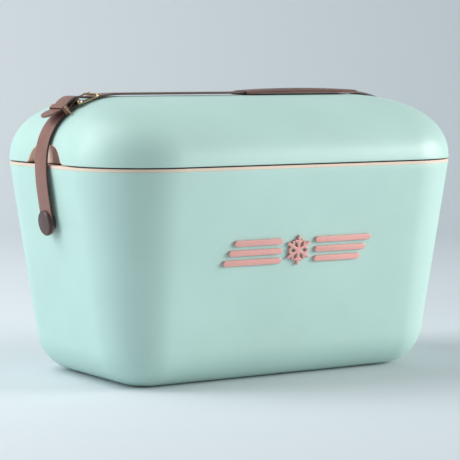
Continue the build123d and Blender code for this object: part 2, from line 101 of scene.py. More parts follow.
# %% sockets with arithmetic
class Wire:
    """An output socket; arithmetic on it adds Math nodes to its tree."""

    def __init__(self, tree, socket):
        self.tree, self.socket = tree, socket

    def out(self, name):
        return Wire(self.tree, self.socket.node.outputs[name])

    def math(self, operation, *values, clamp=False):
        settings = {"operation": operation, "use_clamp": clamp}
        return self.tree.add("ShaderNodeMath", settings, dict(enumerate(values)))

    def __add__(self, other):
        return self.math("ADD", self, other)

    def __sub__(self, other):
        return self.math("SUBTRACT", self, other)

    def __rsub__(self, other):
        return self.math("SUBTRACT", other, self)

    def __mul__(self, other):
        return self.math("MULTIPLY", self, other)

    def __truediv__(self, other):
        return self.math("DIVIDE", self, other)

    def __pow__(self, other):
        return self.math("POWER", self, other)

    def clamped(self):
        return self.math("ADD", self, 0.0, clamp=True)

    def cosine(self):
        return self.math("COSINE", self)

    def sine(self):
        return self.math("SINE", self)

    __radd__, __rmul__ = __add__, __mul__


class Tree:
    """A node tree whose nodes come from one method."""

    def __init__(self, tree):
        self.tree = tree

    def add(self, kind, settings=None, inputs=None, output=0):
        node = self.tree.nodes.new(kind)
        for name, value in (settings or {}).items():
            if name == "stops":
                ramp = node.color_ramp
                while len(ramp.elements) < len(value):
                    ramp.elements.new(0.5)
                for element, (position, color) in zip(ramp.elements, value):
                    element.position, element.color = position, color
            else:
                setattr(node, name, value)
        for key, value in (inputs or {}).items():
            if isinstance(value, Wire):
                self.tree.links.new(value.socket, node.inputs[key])
            else:
                node.inputs[key].default_value = value
        return Wire(self, node.outputs[output]) if len(node.outputs) else None


print("Wire and Tree are ready")

# %% [markdown]
# ## Shapes that follow a rule
# The chest and the lid are both stacks of rounded rectangles.  A Geometry Nodes tree starts from a
# flat grid whose X says how far round a point is and whose Y says how far along the profile, and
# moves each point by the rule.  The sizes are named inputs, so the same tree serves any size.

# %% a tree with named inputs, and the plain mesh it makes
def new_rule(name, sizes):
    """Empty Geometry Nodes tree with these named inputs and one geometry in and out."""
    tree = bpy.data.node_groups.new(name, "GeometryNodeTree")
    tree.interface.new_socket(name="Geometry", in_out="INPUT", socket_type="NodeSocketGeometry")
    for size, kind in sizes.items():
        tree.interface.new_socket(name=size, in_out="INPUT", socket_type="NodeSocket" + kind)
    tree.interface.new_socket(name="Geometry", in_out="OUTPUT", socket_type="NodeSocketGeometry")
    return Tree(tree)


def close_rule(rule, geometry, material):
    """Ends a tree in Realize Instances, Set Material and its output."""
    real = rule.add("GeometryNodeRealizeInstances", {}, {"Geometry": geometry})
    finish = {"Geometry": real, "Material": material}
    painted = rule.add("GeometryNodeSetMaterial", {}, finish)
    rule.add("NodeGroupOutput", {}, {"Geometry": painted})


def grow(rule, start, values):
    """Plain mesh that the tree makes from a starting mesh with these input values."""
    maker = bpy.data.objects.new("maker", start)
    collection.objects.link(maker)
    modifier = maker.modifiers.new("rule", "NODES")
    modifier.node_group = rule.tree
    for item in rule.tree.interface.items_tree:
        if item.in_out == "INPUT" and item.name in values:
            modifier[item.identifier] = values[item.name]
    bpy.context.view_layer.update()
    seen = maker.evaluated_get(bpy.context.evaluated_depsgraph_get())
    mesh = bpy.data.meshes.new_from_object(seen)
    bpy.data.objects.remove(maker)
    return mesh


def tidy_mesh(mesh, outwards=True):
    """Merges doubles and turns the faces outwards."""
    work = bmesh.new()
    work.from_mesh(mesh)
    bmesh.ops.remove_doubles(work, verts=work.verts, dist=2e-6)
    bmesh.ops.dissolve_degenerate(work, edges=work.edges, dist=1e-7)
    if outwards:
        bmesh.ops.recalc_face_normals(work, faces=work.faces)
    work.to_mesh(mesh)
    work.free()
    return mesh


def piece(name, mesh, material, sharp=40):
    """Object with a mesh, smooth but for edges sharper than this many degrees."""
    item = bpy.data.objects.new(name, mesh)
    collection.objects.link(item)
    mesh.materials.clear()
    mesh.materials.append(material)
    mesh.polygons.foreach_set("use_smooth", [True] * len(mesh.polygons))
    mesh.set_sharp_from_angle(angle=radians(sharp))
    return item


def settle(item, sharp=40):
    """Applies the modifiers of an object to its mesh."""
    bpy.context.view_layer.update()
    seen = item.evaluated_get(bpy.context.evaluated_depsgraph_get())
    mesh = bpy.data.meshes.new_from_object(seen)
    item.modifiers.clear()
    item.data = mesh
    mesh.set_sharp_from_angle(angle=radians(sharp))
    return item


def modify(item, kind, **settings):
    modifier = item.modifiers.new(kind.lower(), kind)
    for name, value in settings.items():
        setattr(modifier, name, value)
    return item


def place(item, body, slot, *replaced):
    """Hands a finished piece to its body and hides the frame's parts it replaces; the slot is not used."""
    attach(item, body)
    if replaced:
        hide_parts(*replaced)
    print(f"{item.name}: {len(item.data.polygons)} faces on {body}")
    return item


# %% [markdown]
# ## Finishes
# The real box is moulded plastic with a fine satin stipple, so the plastic's colour drifts a
# little, its gloss is broken up, and a very small bump catches the light.  Leather, brass and
# thread come later with their own patterns.  Every pattern reads Object coordinates in metres, so
# a scale of 900 means grains about a millimetre across.

# %% colours
def srgb(red, green, blue):
    """Screen colour from 0 to 255 as the linear colour a shader uses."""
    parts = [part / 255 for part in (red, green, blue)]
    return [p / 12.92 if p < 0.04045 else ((p + 0.055) / 1.055) ** 2.4 for p in parts] + [1.0]


def new_finish(name):
    """Empty material and its tree."""
    material = bpy.data.materials.new(name)
    material.use_nodes = True
    material.node_tree.nodes.clear()
    return material, Tree(material.node_tree)


def blend_colors(tree, factor, first, second):
    settings = {"data_type": "RGBA", "blend_type": "MIX"}
    return tree.add("ShaderNodeMix", settings, {0: factor, 6: first, 7: second}, output=2)


def noise(tree, where, scale, detail=2.0, rough=0.5):
    inputs = {"Vector": where, "Scale": scale, "Detail": detail, "Roughness": rough}
    return tree.add("ShaderNodeTexNoise", {}, inputs)


def close_finish(material, tree, color, rough, height, depth, **fixed):
    """Ends a finish in a Principled shader with a bump; fixed values sit on its own sockets."""
    inputs = {"Base Color": color, "Roughness": rough}
    if height is not None:
        bump = {"Height": height, "Distance": depth, "Strength": 1.0}
        inputs["Normal"] = tree.add("ShaderNodeBump", {}, bump)
    for key, value in fixed.items():
        inputs[key.replace("_", " ")] = value
    shader = tree.add("ShaderNodeBsdfPrincipled", {}, inputs)
    tree.add("ShaderNodeOutputMaterial", {}, {"Surface": shader})
    return material


# %% moulded plastic
def plastic(name, color, rough, stipple=0.00002, drift=0.05, scuffs=0.0):
    """Satin moulded plastic: slow colour drift, fine stipple, uneven gloss and faint scuffs."""
    material, tree = new_finish(name)
    where = tree.add("ShaderNodeTexCoord", output="Object")
    slow = noise(tree, where, 9.0, 3.0)
    grain = noise(tree, where, 1500.0, 2.0, 0.6)
    smear = noise(tree, where, 38.0, 5.0, 0.62)
    light = [min(1.0, part * (1 + drift)) for part in color[:3]] + [1.0]
    dark = [part * (1 - drift) for part in color[:3]] + [1.0]
    shade = blend_colors(tree, ((slow - 0.35) * 3.0).clamped(), dark, light)
    scratch = noise(tree, where, 420.0, 6.0, 0.7)
    mark = ((scratch - 0.66) * 12.0).clamped() * scuffs
    shade = blend_colors(tree, mark, shade, [part * 0.8 for part in color[:3]] + [1.0])
    gloss = (smear - 0.5) * 0.16 + grain * 0.06 + rough + mark * 0.2
    return close_finish(material, tree, shade, gloss, grain, stipple, IOR=1.46)


MINT = srgb(185, 217, 209)
CREAM = srgb(226, 205, 188)
ROSE = srgb(234, 206, 192)
mint = plastic("mint_plastic", MINT, 0.38, drift=0.03, scuffs=0.25)
cream = plastic("cream_rim_plastic", CREAM, 0.42)
rose = plastic("rose_grip_plastic", ROSE, 0.4)
badge_pink = plastic("badge_pink_plastic", srgb(231, 170, 163), 0.24, stipple=0.000006)
print("plastics ready")

# %% [markdown]
# ## The chest
# The chest's wall leans in, turns into the base on a 45 mm round, and the floor closes it.  Its
# profile is three runs joined end to end, and each run is a clamped share of the grid's Y.

# %% the rounded rectangle rule
ROUND_SHARES = (0.24, 0.80)  # shares of a quarter turn where the corner starts and ends


def rounded_rectangle(around, half_x, half_y, corner):
    """X and Y of a point this share of the way round a rounded rectangle."""
    start, end = ROUND_SHARES
    quarter = around.math("PINGPONG", around * 4.0, 1.0)
    side = (quarter / start).clamped()
    turn = ((quarter - start) / (end - start)).clamped() * (pi / 2)
    front = ((quarter - end) / (1 - end)).clamped()
    sign_x = around.math("SIGN", (around * (2 * pi)).cosine())
    sign_y = around.math("SIGN", (around * (2 * pi)).sine())
    x = sign_x * ((1 - front) * (half_x - corner) + corner * turn.cosine())
    y = sign_y * (side * (half_y - corner) + corner * turn.sine())
    return x, y


def stacked_shell(rule, x, y, z, grid, material):
    """Moves the grid's points, merges the seam and the pole, and closes the tree."""
    spot = rule.add("ShaderNodeCombineXYZ", {}, {0: x, 1: y, 2: z})
    moved = rule.add("GeometryNodeSetPosition", {}, {"Geometry": grid, "Position": spot})
    merge = {"Geometry": moved, "Distance": 1e-5}
    close_rule(rule, rule.add("GeometryNodeMergeByDistance", {}, merge), material)


def rule_grid(rule, sizes):
    """Unit grid with its two shares: how far round, and how far along the profile."""
    counts = {"Size X": 1.0, "Size Y": 1.0, "Vertices X": sizes.out("Around")}
    counts["Vertices Y"] = sizes.out("Along")
    grid = rule.add("GeometryNodeMeshGrid", {}, counts)
    position = rule.add("GeometryNodeInputPosition")
    apart = rule.add("ShaderNodeSeparateXYZ", {}, {0: position})
    return grid, apart.out("X") + 0.5, apart.out("Y") + 0.5


BOX_SIZES = {"Length": "Float", "Width": "Float", "Corner": "Float", "Seam": "Float"}
COUNTS = {"Around": "Int", "Along": "Int"}
print("rule inputs", list(BOX_SIZES) + list(COUNTS))

# %% the chest's rule
chest_rule = new_rule("drafted chest", {**BOX_SIZES, **COUNTS, "Top": "Float", "Round": "Float"})
sizes = chest_rule.add("NodeGroupInput")
grid, around, along = rule_grid(chest_rule, sizes)
wall = (along / 0.42).clamped()
turn = ((along - 0.42) / 0.33).clamped() * (pi / 2 - DRAFT) + DRAFT
spread = 1 - ((along - 0.75) / 0.25).clamped()
foot = sizes.out("Round") * (1 - sin(DRAFT))
wall_z = sizes.out("Top") + (foot - sizes.out("Top")) * wall
inset = (sizes.out("Seam") - wall_z) * tan(DRAFT) + sizes.out("Round") * (
    cos(DRAFT) - turn.cosine()
)
height = wall_z - foot + sizes.out("Round") * (1 - turn.sine())
x, y = rounded_rectangle(
    around,
    sizes.out("Length") * 0.5 - inset,
    sizes.out("Width") * 0.5 - inset,
    sizes.out("Corner") - inset,
)
stacked_shell(chest_rule, x * spread, y * spread, height, grid, mint)

box_values = {"Length": LENGTH, "Width": WIDTH, "Corner": CORNER, "Seam": SEAM}
chest_values = {"Around": 161, "Along": 61, "Top": SEAM - RIM_THICK, "Round": BASE_ROUND}
chest_mesh = grow(chest_rule, bpy.data.meshes.new("start"), {**box_values, **chest_values})
chest = piece("chest_shell", tidy_mesh(chest_mesh), mint)
modify(chest, "SOLIDIFY", thickness=WALL, offset=-1.0)
modify(chest, "BEVEL", width=0.0006, segments=3, limit_method="ANGLE", angle_limit=radians(50))
place(settle(chest), "chest", "mint_shell", "outer_shell")

# %% [markdown]
# ## The lid
# The lid shrinks along a superellipse: sine and cosine raised to 2/N give height and spread.  The
# finger grips are half moons cut out of both ends, so a Boolean cuts the wall after it has its
# thickness, and the rose cups fill the cut.

# %% the lid's rule
lid_rule = new_rule("domed lid", {**BOX_SIZES, **COUNTS, "Rise": "Float", "Shoulder": "Float"})
sizes = lid_rule.add("NodeGroupInput")
grid, around, along = rule_grid(lid_rule, sizes)
first_turn = (LID_GAP / LID_RISE) ** (ROUNDNESS / 2)
turn = along * (pi / 2 - first_turn) + first_turn
spread = turn.math("MAXIMUM", turn.cosine(), 0.0) ** (2 / ROUNDNESS)
rise = turn.sine() ** (2 / ROUNDNESS)
ridge = sizes.out("Length") * 0.5 - sizes.out("Shoulder")
x, y = rounded_rectangle(
    around,
    ridge + sizes.out("Shoulder") * spread,
    sizes.out("Width") * 0.5 * spread,
    sizes.out("Corner") * spread,
)
stacked_shell(lid_rule, x, y, sizes.out("Seam") + sizes.out("Rise") * rise, grid, mint)
lid_values = {"Around": 225, "Along": 65, "Rise": LID_RISE, "Shoulder": SHOULDER}
lid_mesh = grow(lid_rule, bpy.data.meshes.new("start"), {**box_values, **lid_values})
lid = piece("lid_skin", tidy_mesh(lid_mesh), mint)
modify(lid, "SOLIDIFY", thickness=WALL, offset=-1.0)
modify(lid, "BEVEL", width=0.0006, segments=3, limit_method="ANGLE", angle_limit=radians(50))
settle(lid)
print("lid", len(lid.data.polygons), "faces")

# %% the half moon's outline
GRIP_DEPTH = 0.011
GRIP_LIP = 0.0010
GRIP_POINTS = [(0.052, -0.0005), (0.0405, 0.0), (0.0346, 0.0028), (0.0304, 0.0092), (0.0212, 0.0165)]
GRIP_POINTS += [(0.0, 0.020)]


def smooth_line(points, steps):
    """Catmull-Rom line through the points, the first and last of which only steer it."""
    line = []
    for a, b, c, d in zip(points, points[1:], points[2:], points[3:]):
        for step in range(steps):
            t = step / steps
            weights = (
                -t / 2 + t * t - t**3 / 2,
                1 - 2.5 * t * t + 1.5 * t**3,
                t / 2 + 2 * t * t - 1.5 * t**3,
                (t**3 - t * t) / 2,
            )
            line.append(sum((Vector(p) * w for p, w in zip((a, b, c, d), weights)), Vector((0,) * len(a))))
    return line + [Vector(points[-2])]


right_half = GRIP_POINTS + [(-0.0212, 0.0165)]
grip_half = smooth_line(right_half, 9)
grip_line = grip_half + [Vector((-p.x, p.y)) for p in reversed(grip_half[:-1])]


def lid_end(height):
    """How far out the lid's end is at this height above the base."""
    up = max(height - SEAM, 0.0) / LID_RISE
    return RIDGE + SHOULDER * (1 - up**ROUNDNESS) ** (1 / ROUNDNESS)


def grown(line, distance):
    """The outline moved outwards by a distance."""
    result = []
    for index, point in enumerate(line):
        before, after = line[max(index - 1, 0)], line[min(index + 1, len(line) - 1)]
        way = (after - before).normalized()
        result.append(point + Vector((way.y, -way.x)) * distance)
    return result


print("outline points", len(grip_line))


# %% cut the lid and fit the cups
def ring_faces(rings, closed=False):
    """Quads between rings of equal length."""
    count = len(rings[0])
    spans = count if closed else count - 1
    faces = []
    for row in range(len(rings) - 1):
        for column in range(spans):
            a, b = row * count + column, row * count + (column + 1) % count
            faces.append((a, b, b + count, a + count))
    return faces


def mesh_of(name, points, faces):
    mesh = bpy.data.meshes.new(name)
    mesh.from_pydata([tuple(point) for point in points], [], faces)
    return mesh


for side, word in ((-1, "left"), (1, "right")):
    wide = grown(grip_line, GRIP_LIP)
    wide = [Vector((wide[0].x, -0.004))] + wide + [Vector((wide[-1].x, -0.004))]
    rings = [[(side * x, p.x, LID_LOW + p.y) for p in wide] for x in (LENGTH / 2 + 0.01, 0.2)]
    block = ring_faces(rings, closed=True)
    count = len(wide)
    block += [tuple(range(count)), tuple(range(count, 2 * count))]
    cutter_mesh = tidy_mesh(mesh_of("cutter", rings[0] + rings[1], block))
    cutter = piece("cutter", cutter_mesh, mint)
    modify(lid, "BOOLEAN", operation="DIFFERENCE", object=cutter, solver="EXACT")
    settle(lid)
    bpy.data.objects.remove(cutter)

    rows = []
    lip = ((GRIP_LIP, -0.0006), (GRIP_LIP * 0.9, 0.0), (GRIP_LIP * 0.5, 0.00012), (0.0, -0.0001))
    for spread, proud in lip:
        ring = grown(grip_line, spread)
        rows.append([(side * (lid_end(LID_LOW + p.y) + proud), p.x, LID_LOW + max(p.y, 0.0)) for p in ring])
    back = LENGTH / 2 - GRIP_DEPTH
    for step in range(1, 15):
        deep = sin(pi / 2 * step / 14)
        scale = (1 - deep**4.5) ** (1 / 4.5)
        ring = []
        for p in grip_line:
            out = lid_end(LID_LOW + p.y)
            ring.append((side * (out + (back - out) * deep), p.x * scale, LID_LOW + p.y * scale))
        rows.append(ring)
    cup_mesh = mesh_of("cup", [point for row in rows for point in row], ring_faces(rows))
    cup = piece(f"grip_cup_skin_{word}", tidy_mesh(cup_mesh), rose, sharp=60)
    wall_way = cup.data.polygons[len(cup.data.polygons) // 2].normal.x * side
    modify(cup, "SOLIDIFY", thickness=0.0012, offset=-1.0 if wall_way > 0 else 1.0)
    place(settle(cup, 60), "lid", "rose_grip", f"grip_cup_{word}")
place(lid, "lid", "mint_lid", "lid_outer")

# %% [markdown]
# ## Rim, liner, tray and foam
# These keep the frame's own solids, because their shapes are already right, and only get a finish.
# The rim is the thin cream line between chest and lid.

# %% hidden and plain parts
def foam_finish():
    """Rigid expanded foam: pale yellow cells."""
    material, tree = new_finish("foam")
    where = tree.add("ShaderNodeTexCoord", output="Object")
    cells = tree.add("ShaderNodeTexVoronoi", {}, {"Vector": where, "Scale": 700.0})
    shade = blend_colors(tree, (cells * 1.3).clamped(), srgb(206, 190, 150), srgb(244, 234, 206))
    return close_finish(material, tree, shade, cells * 0.1 + 0.75, cells, 0.0002)


def rubber_finish():
    """Soft grey gasket rubber with a dusty bloom."""
    material, tree = new_finish("seal_rubber_grey")
    where = tree.add("ShaderNodeTexCoord", output="Object")
    bloom = noise(tree, where, 160.0, 5.0, 0.65)
    fine = noise(tree, where, 2400.0, 1.0)
    shade = blend_colors(tree, bloom, srgb(70, 68, 66), srgb(104, 100, 96))
    return close_finish(material, tree, shade, bloom * 0.25 + 0.55, fine, 0.00002)


def steel_finish():
    """Plated steel with a fine grain bump and faint stains."""
    material, tree = new_finish("plated_steel")
    where = tree.add("ShaderNodeTexCoord", output="Object")
    fine = noise(tree, where, 900.0, 4.0, 0.7)
    stain = noise(tree, where, 120.0, 4.0)
    shade = blend_colors(tree, stain, srgb(158, 158, 160), srgb(206, 205, 202))
    return close_finish(material, tree, shade, stain * 0.2 + 0.2, fine, 0.00001, Metallic=1.0)


foam, rubber, steel = foam_finish(), rubber_finish(), steel_finish()
for name, material in {
    "inner_liner": cream,
    "lid_inner": rose,
    "body_foam": foam,
    "lid_foam": foam,
    "lid_seal": rubber,
    "stud_nuts": steel,
    "stud_posts": steel,
}.items():
    nodes[name].data.materials.clear()
    nodes[name].data.materials.append(material)
    print(name, "has", material.name)

# %% [markdown]
# ## The badge
# The raised badge is an ice star between staggered bars.  A copy of the frame's solid already has
# the right outline, so its loose triangles are merged and a bevel rolls the sharp front edges the
# way a moulded letter has them.

# %% badge
badge_mesh = tidy_mesh(nodes["front_badge"].data.copy(), outwards=False)
badge_work = bmesh.new()
badge_work.from_mesh(badge_mesh)
bmesh.ops.dissolve_limit(
    badge_work, angle_limit=radians(1), verts=badge_work.verts, edges=badge_work.edges
)
badge_work.to_mesh(badge_mesh)
badge_work.free()
if "custom_normal" in badge_mesh.attributes:
    badge_mesh.attributes.remove(badge_mesh.attributes["custom_normal"])
badge = piece("badge_relief", badge_mesh, badge_pink, sharp=30)
modify(badge, "BEVEL", width=0.0008, segments=3, limit_method="ANGLE", angle_limit=radians(60))
place(settle(badge, 35), "chest", "badge_pink", "front_badge")

# %% [markdown]
# ## Turned and swept parts
# Studs, rivets and bars are turned, so a profile spun round an axis makes them.  Buckle rails,
# wires and leather loops are swept, so a section that follows a line makes them.

# %% lathe and sweep
def cross_frame(axis):
    """Two directions at right angles to an axis."""
    axis = Vector(axis).normalized()
    side = axis.cross(Vector((0, 1, 0)) if abs(axis.y) < 0.9 else Vector((1, 0, 0))).normalized()
    return side, axis.cross(side)


def lathe(profile, centre, axis, count=48):
    """Closed turned mesh from (radius, distance along the axis) pairs that start and end on it."""
    side, up = cross_frame(axis)
    axis = Vector(axis).normalized()
    rings = []
    for radius, along in profile:
        middle = Vector(centre) + axis * along
        angles = [2 * pi * index / count for index in range(count)]
        rings.append([middle + (side * cos(a) + up * sin(a)) * radius for a in angles])
    points = [point for ring in rings for point in ring]
    return tidy_mesh(mesh_of("turned", points, ring_faces(rings, closed=True)))


def sweep(line, section, normals, scales=None, closed=False):
    """Closed mesh of a section (across, up) carried along a line with these up directions."""
    rings = []
    count = len(line)
    for index, point in enumerate(line):
        before = line[index - 1] if index or closed else line[0]
        after = line[(index + 1) % count] if index < count - 1 or closed else line[-1]
        way = (after - before).normalized()
        up = normals[index]
        across = way.cross(up).normalized()
        scale = scales[index] if scales else 1.0
        rings.append([point + across * (a * scale) + up * (b * scale) for a, b in section])
    faces = ring_faces(rings + rings[:1], closed=True) if closed else ring_faces(rings, closed=True)
    total, size = len(rings) * len(section), len(section)
    faces = [tuple(corner % total for corner in face) for face in faces]
    if not closed:
        faces += [tuple(range(size)), tuple(range(total - size, total))]
    return tidy_mesh(mesh_of("swept", [p for ring in rings for p in ring], faces))


def oval(width, height, power=2.6, count=20):
    """Superellipse section."""
    points = []
    for index in range(count):
        angle = 2 * pi * index / count
        c, s = cos(angle), sin(angle)
        a = abs(c) ** (2 / power) * (1 if c >= 0 else -1)
        b = abs(s) ** (2 / power) * (1 if s >= 0 else -1)
        points.append((a * width / 2, b * height / 2))
    return points


def join(meshes):
    """One mesh from several."""
    work = bmesh.new()
    for mesh in meshes:
        work.from_mesh(mesh)
    result = bpy.data.meshes.new("joined")
    work.to_mesh(result)
    work.free()
    return result


print("lathe, sweep and join are ready")


# %% [markdown]
# ## The line of the strap
# The strap hangs from the stud, stands clear of the wall, turns upright at the seam and rides over
# the lid on the same superellipse, only a little larger.  Its centre line is measured by distance
# from the middle of the lid on top and by height on the sides.

# %% strap line
def on_strap(distance, lift):
    """Point (x, z) of the strap's inner face on the left, this far from the middle, raised."""
    semi_x, semi_z = SHOULDER + SEAM_GAP, LID_RISE + CREST_GAP
    across = min(max(distance - RIDGE, 0.0) / semi_x, 1.0)
    up = (1 - across**ROUNDNESS) ** (1 / ROUNDNESS)
    slope_x, slope_z = across ** (ROUNDNESS - 1) / semi_x, up ** (ROUNDNESS - 1) / semi_z
    size = hypot(slope_x, slope_z)
    return Vector((-distance - lift * slope_x / size, SEAM + semi_z * up + lift * slope_z / size))


def turned_distance(turn):
    """Distance from the middle where the strap has come up by this turn from the seam."""
    return RIDGE + (SHOULDER + SEAM_GAP) * max(cos(turn), 0.0) ** (2 / ROUNDNESS)


def wall_point(height, gap):
    x = -LENGTH / 2 + (SEAM - height) * tan(DRAFT)
    return Vector((x - gap * cos(DRAFT), height - gap * sin(DRAFT)))


def side_line(lift):
    """Left strap line from below the stud up to the start of the lid's arch."""
    stud = wall_point(SEAM - STUD_DROP, STUD_GAP + lift)
    wall = Vector((-sin(DRAFT), cos(DRAFT)))
    low = stud - wall * (STRAP_WIDTH / 2)
    bend_x = -LENGTH / 2 + BOW * tan(DRAFT) - STUD_GAP / cos(DRAFT)
    bend = Vector((bend_x - lift * cos(DRAFT), SEAM - BOW - lift * sin(DRAFT)))
    seam = Vector((-LENGTH / 2 - SEAM_GAP - lift, SEAM))
    line = [low + (bend - low) * (step / 34) for step in range(34)]
    radius = (seam.y - bend.y) / sin(DRAFT)
    for step in range(10):
        angle = DRAFT * (1 - step / 10)
        line.append(Vector((seam.x + radius * (1 - cos(angle)), seam.y - radius * sin(angle))))
    return line


def arch_line(lift, start, end, step=0.0016):
    """Left strap line over the arch between two distances from the middle, outermost first."""
    line = [on_strap(RIDGE + SHOULDER + SEAM_GAP, lift)]
    turn = 0.0
    while turned_distance(turn) > end:
        distance = turned_distance(turn)
        if distance < start:
            point = on_strap(distance, lift)
            if (point - line[-1]).length > step:
                line.append(point)
        turn += 0.004
        if turn > pi / 2:
            break
    return line


def heading(line, index):
    """Direction of a line of (x, z) points at one of them."""
    before, after = line[max(index - 1, 0)], line[min(index + 1, len(line) - 1)]
    return (after - before).normalized()


print("strap line from", side_line(0.0)[0], "to", on_strap(0.0, 0.0))

# %% [markdown]
# ## Leather
# Full-grain leather has small pebbles, fine creases and slow darker patches, and its cut edge is
# painted dark.  The strap's mesh carries a UV map, metres along and a share across, so a pressed
# crease line near the edges and the edge paint follow the strap where it bends; the grain reads
# Object coordinates.

# %% leather finish
def leather(name, color, dark, edge, crease):
    """Grained leather; the UV map's V runs from -1 to 1 across and marks the edge and crease, and on the pad
    also the underside, where the dark edge colour is painted shade.
    """
    material, tree = new_finish(name)
    where = tree.add("ShaderNodeTexCoord", output="Object")
    across = tree.add("ShaderNodeUVMap", {"uv_map": "strap"})
    edge_place = tree.add("ShaderNodeSeparateXYZ", {}, {0: across}).out("Y")
    edge_place = edge_place.math("ABSOLUTE", edge_place * 2.0 - 1.0)
    pebbles = tree.add("ShaderNodeTexVoronoi", {"feature": "SMOOTH_F1"}, {"Vector": where, "Scale": 1150.0})
    creases = noise(tree, where, 260.0, 7.0, 0.68)
    patches = noise(tree, where, 42.0, 4.0, 0.55)
    tone = ((patches - 0.35) * 1.8).clamped() * 0.75 + creases * 0.25
    shade = blend_colors(tree, tone, dark, color)
    worn = ((creases - 0.58) * 5.0).clamped() * 0.35
    shade = blend_colors(tree, worn, shade, [min(1, part * 1.45) for part in color[:3]] + [1.0])
    # Dark edge colour: real edge paint on the strap's cut edges, and painted shade on the pad's underside,
    # which the pad's UV map marks as edge.
    paint = ((edge_place - 0.965) * 60.0).clamped()
    shade = blend_colors(tree, paint, shade, edge)
    groove = 1 - ((edge_place - 0.86).math("ABSOLUTE", edge_place - 0.86) * 34.0).clamped()
    groove = groove * crease
    shade = blend_colors(tree, groove * 0.5, shade, dark)
    height = (1 - pebbles) * 0.5 + creases * 0.6 - groove * 1.2
    gloss = creases * 0.22 + 0.36 + paint * 0.05
    return close_finish(
        material, tree, shade, gloss, height, 0.00012, Coat_Weight=0.3, Coat_Roughness=0.36
    )


BROWN, UMBER, EDGE_PAINT_AND_SHADE = srgb(156, 106, 91), srgb(120, 76, 64), srgb(58, 42, 38)
strap_leather = leather("strap_leather_brown", BROWN, UMBER, EDGE_PAINT_AND_SHADE, 1.0)
pad_leather = leather("pad_leather_brown", srgb(120, 80, 70), srgb(88, 57, 51), EDGE_PAINT_AND_SHADE, 0.0)
print("leather ready")


# %% a strap with rounded edges
def ribbon(name, line, material, halves=None, thick=STRAP_THICK, round_edge=0.0006, sharp=50):
    """Leather strap along (x, z) points; its outer face is on the left of its direction."""
    rings, places = [], []
    run = 0.0
    half = STRAP_WIDTH / 2
    for index, point in enumerate(line):
        way = heading(line, index)
        out = Vector((-way.y, way.x))
        if index:
            run += (point - line[index - 1]).length
        wide = halves[index] if halves else half
        r = min(round_edge, wide * 0.5)
        section = []
        steps = [1 - 2 * step / 10 for step in range(11)]
        for sign in (1, -1):
            flat = [(sign * s * (wide - r), sign * thick / 2) for s in steps]
            section += flat
            for angle in (30, 60, 90, 120, 150):
                a = radians(angle)
                corner = -sign * (wide - r + r * sin(a))
                lift = sign * ((thick / 2 - r) * (1 if angle < 90 else -1 if angle > 90 else 0) + r * cos(a))
                section.append((corner, lift))
        ring = []
        for across, lift in section:
            ring.append((point.x + out.x * lift, across, point.y + out.y * lift))
            places.append((run, across / half))
        rings.append(ring)
    count = len(rings[0])
    points = [p for ring in rings for p in ring]
    faces = ring_faces(rings, closed=True)
    total = len(points)
    faces += [tuple(range(count)), tuple(range(total - count, total))]
    mesh = mesh_of(name, points, faces)
    layer = mesh.uv_layers.new(name="strap")
    for loop in mesh.loops:
        u, v = places[loop.vertex_index]
        layer.data[loop.index].uv = (u, v * 0.5 + 0.5)
    tidy_mesh(mesh)
    return piece(name, mesh, material, sharp=sharp)


MID = STRAP_THICK / 2
SPLIT_Z = 0.214  # height where the stud length hands over to the arch length


def round_end(line, first=True, radius=STRAP_WIDTH / 2):
    """Half widths along a line whose first or last end is a half circle."""
    halves, run = [], 0.0
    ordered = line if first else list(reversed(line))
    for index, point in enumerate(ordered):
        run += (point - ordered[index - 1]).length if index else 0.0
        short = max(radius - run, 0.0)
        halves.append(max(sqrt(max(radius**2 - short**2, 0.0)), 0.0004))
    return halves if first else list(reversed(halves))


def mirrored(line):
    """The same line on the other side, in the other order."""
    return [Vector((-point.x, point.y)) for point in reversed(line)]


def end_dense(line, radius=STRAP_WIDTH / 2):
    """Adds points near the first end, so that a half circle there is smooth."""
    way = (line[1] - line[0]).normalized()
    dense = [line[0] + way * radius * (1 - cos(pi / 2 * step / 14)) for step in range(14)]
    return dense + [point for point in line if (point - line[0]).dot(way) > radius * 0.99]


low_line = [p for p in side_line(MID) if p.y < SPLIT_Z]
low_line = end_dense(low_line)
high_start = [p for p in side_line(MID) if p.y >= SPLIT_Z]
high_start.insert(0, low_line[-1].copy())
FOLD = Vector((-0.22511, 0.180837))
print("stud length", len(low_line), "points")

# %% the two stud lengths
for side, word in ((1, "left"), (-1, "right")):
    line = low_line if side > 0 else mirrored(low_line)
    halves = round_end(line, first=side > 0)
    item = ribbon(f"strap_{word}_stud_length", line, strap_leather, halves)
    wall = Vector((-sin(DRAFT), cos(DRAFT))) * 0.012
    start, end = FOLD - wall, FOLD + wall
    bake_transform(item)
    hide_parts(f"strap_{word}_anchor", f"strap_{word}_lower")
    print(item.name, len(item.data.polygons), "faces")

# %% [markdown]
# ## The buckle end
# The short half of the strap wraps round the buckle's heel bar and comes back on itself, held by a
# small rivet.  A line that goes round the bar and returns makes it in one piece, so the fold looks
# like folded leather, not like a tube.

